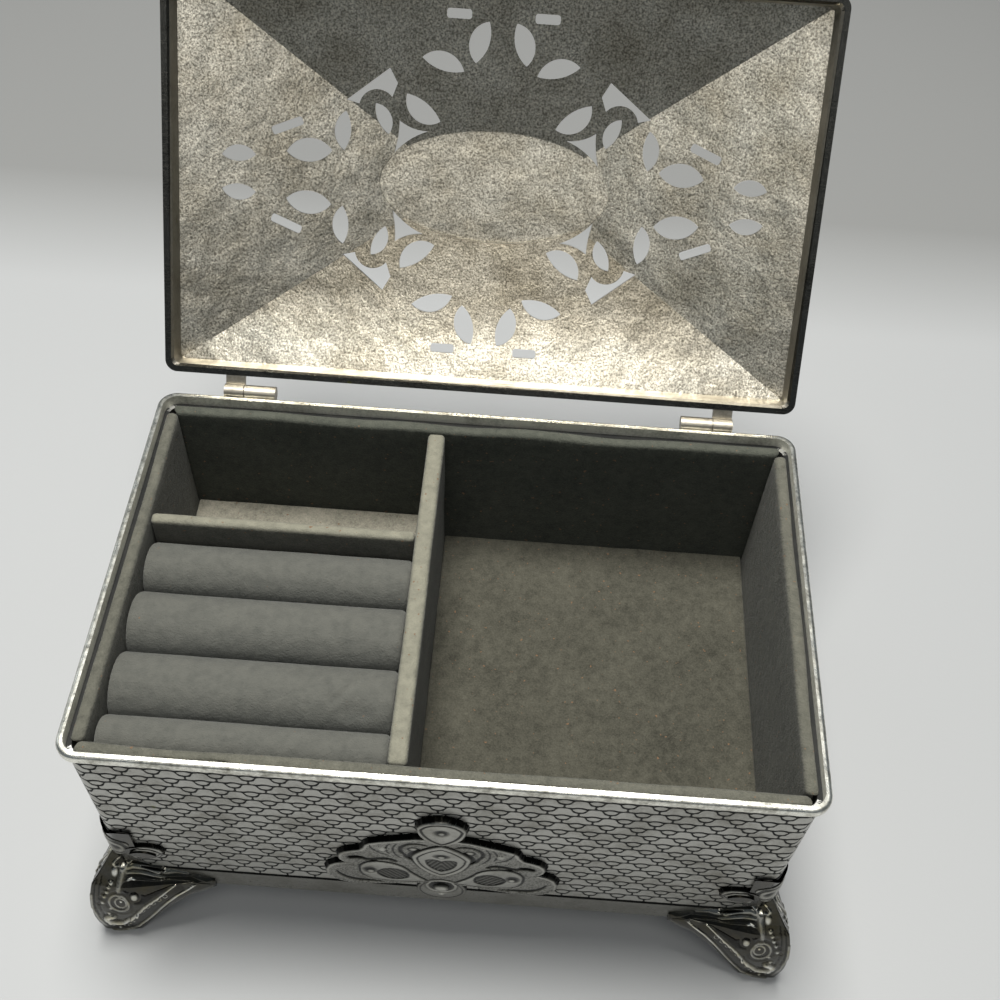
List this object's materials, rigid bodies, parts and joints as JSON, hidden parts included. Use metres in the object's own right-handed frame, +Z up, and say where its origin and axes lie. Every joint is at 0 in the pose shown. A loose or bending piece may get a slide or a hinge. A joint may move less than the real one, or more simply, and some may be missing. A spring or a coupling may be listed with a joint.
{
  "type": "musical jewelry box",
  "caption": "Oblong cast metal jewelry box on four splayed corner feet, with a pierced hipped lid standing open, velvet compartments, ring rolls and a wind-up musical movement.",
  "frame": {"origin": "on the floor under the middle of the case, in the plane of the four feet", "axes": "+X to the right seen from the front, +Y to the back where the lid is hinged, +Z up; the lid is stored open as in the picture"},
  "size_m": [0.1772, 0.1789, 0.1766],
  "materials": {
    "silver_case": "antiqued silver plate, dark in the hollows",
    "silver_cast": "coarse sand-cast plated metal, bright inside",
    "dark_foot": "dark antiqued cast metal with rubbed edges",
    "velvet_board": "grey-green velvet over card",
    "velvet_roll": "grey-green velvet over foam",
    "bottom_paint": "dull dark paint",
    "steel": "plain steel",
    "brass": "plain brass",
    "fan_plastic": "moulded plastic"
  },
  "bodies": {
    "case": {"case_body": "silver_case", "front_cartouche": "silver_case", "base_plate": "bottom_paint", "base_screws": "steel", "foot_front_left": "dark_foot", "foot_front_right": "dark_foot", "foot_back_left": "dark_foot", "foot_back_right": "dark_foot", "lining_front": "velvet_board", "lining_back": "velvet_board", "lining_left": "velvet_board", "lining_right": "velvet_board", "right_floor": "velvet_board", "left_floor": "velvet_board", "centre_divider": "velvet_board", "cross_divider": "velvet_board", "ring_bed": "velvet_board", "ring_roll_1": "velvet_roll", "ring_roll_2": "velvet_roll", "ring_roll_3": "velvet_roll", "ring_roll_4": "velvet_roll", "case_hinge_left": "silver_case", "case_hinge_right": "silver_case", "hinge_pin_left": "steel", "hinge_pin_right": "steel", "movement_bedplate": "brass", "movement_screws": "steel", "comb": "steel", "comb_screws": "steel", "click": "steel", "governor_frame": "brass"},
    "lid": {"lid_frame": "silver_case", "lid_panel": "silver_cast", "lid_hinge_left": "silver_case", "lid_hinge_right": "silver_case"},
    "key": {"winding_key": "steel", "barrel_arbor": "steel", "ratchet_wheel": "brass"},
    "barrel": {"spring_barrel": "brass", "mainspring": "steel"},
    "cylinder": {"cylinder": "brass", "cylinder_arbor": "steel", "cylinder_wheel": "brass"},
    "wheel": {"train_wheel": "brass"},
    "governor": {"governor_worm": "steel", "air_fan": "fan_plastic"},
    "stop": {"stop_slider": "brass"}
  },
  "joints": [
    {"name": "lid_hinge", "type": "hinge", "parent": "case", "child": "lid", "pos_m": [0, 0.0539, 0.0904], "axis": [1, 0, 0], "range_deg": [0, 124.8]},
    {"name": "key_wind", "type": "hinge", "parent": "case", "child": "key", "pos_m": [-0.058, 0.004, 0.018], "axis": [0, 0, 1], "continuous": true},
    {"name": "barrel_spin", "type": "hinge", "parent": "case", "child": "barrel", "pos_m": [-0.058, 0.004, 0.031], "axis": [0, 0, 1], "continuous": true},
    {"name": "cylinder_spin", "type": "hinge", "parent": "case", "child": "cylinder", "pos_m": [-0.0334, 0.004, 0.04042], "axis": [1, 0, 0], "continuous": true},
    {"name": "wheel_spin", "type": "hinge", "parent": "case", "child": "wheel", "pos_m": [-0.0203, 0.014, 0.04042], "axis": [1, 0, 0], "continuous": true},
    {"name": "governor_spin", "type": "hinge", "parent": "case", "child": "governor", "pos_m": [-0.0203, 0.02101, 0.03], "axis": [0, 0, 1], "continuous": true},
    {"name": "stop_slide", "type": "slide", "parent": "case", "child": "stop", "axis": [0, -1, 0], "range_m": [0, 0.004]}
  ],
  "couplings": [
    {"joint": "cylinder_spin", "follows": "barrel_spin", "ratio": 2.8},
    {"joint": "wheel_spin", "follows": "barrel_spin", "ratio": -8.4},
    {"joint": "governor_spin", "follows": "barrel_spin", "ratio": -100.8}
  ]
}
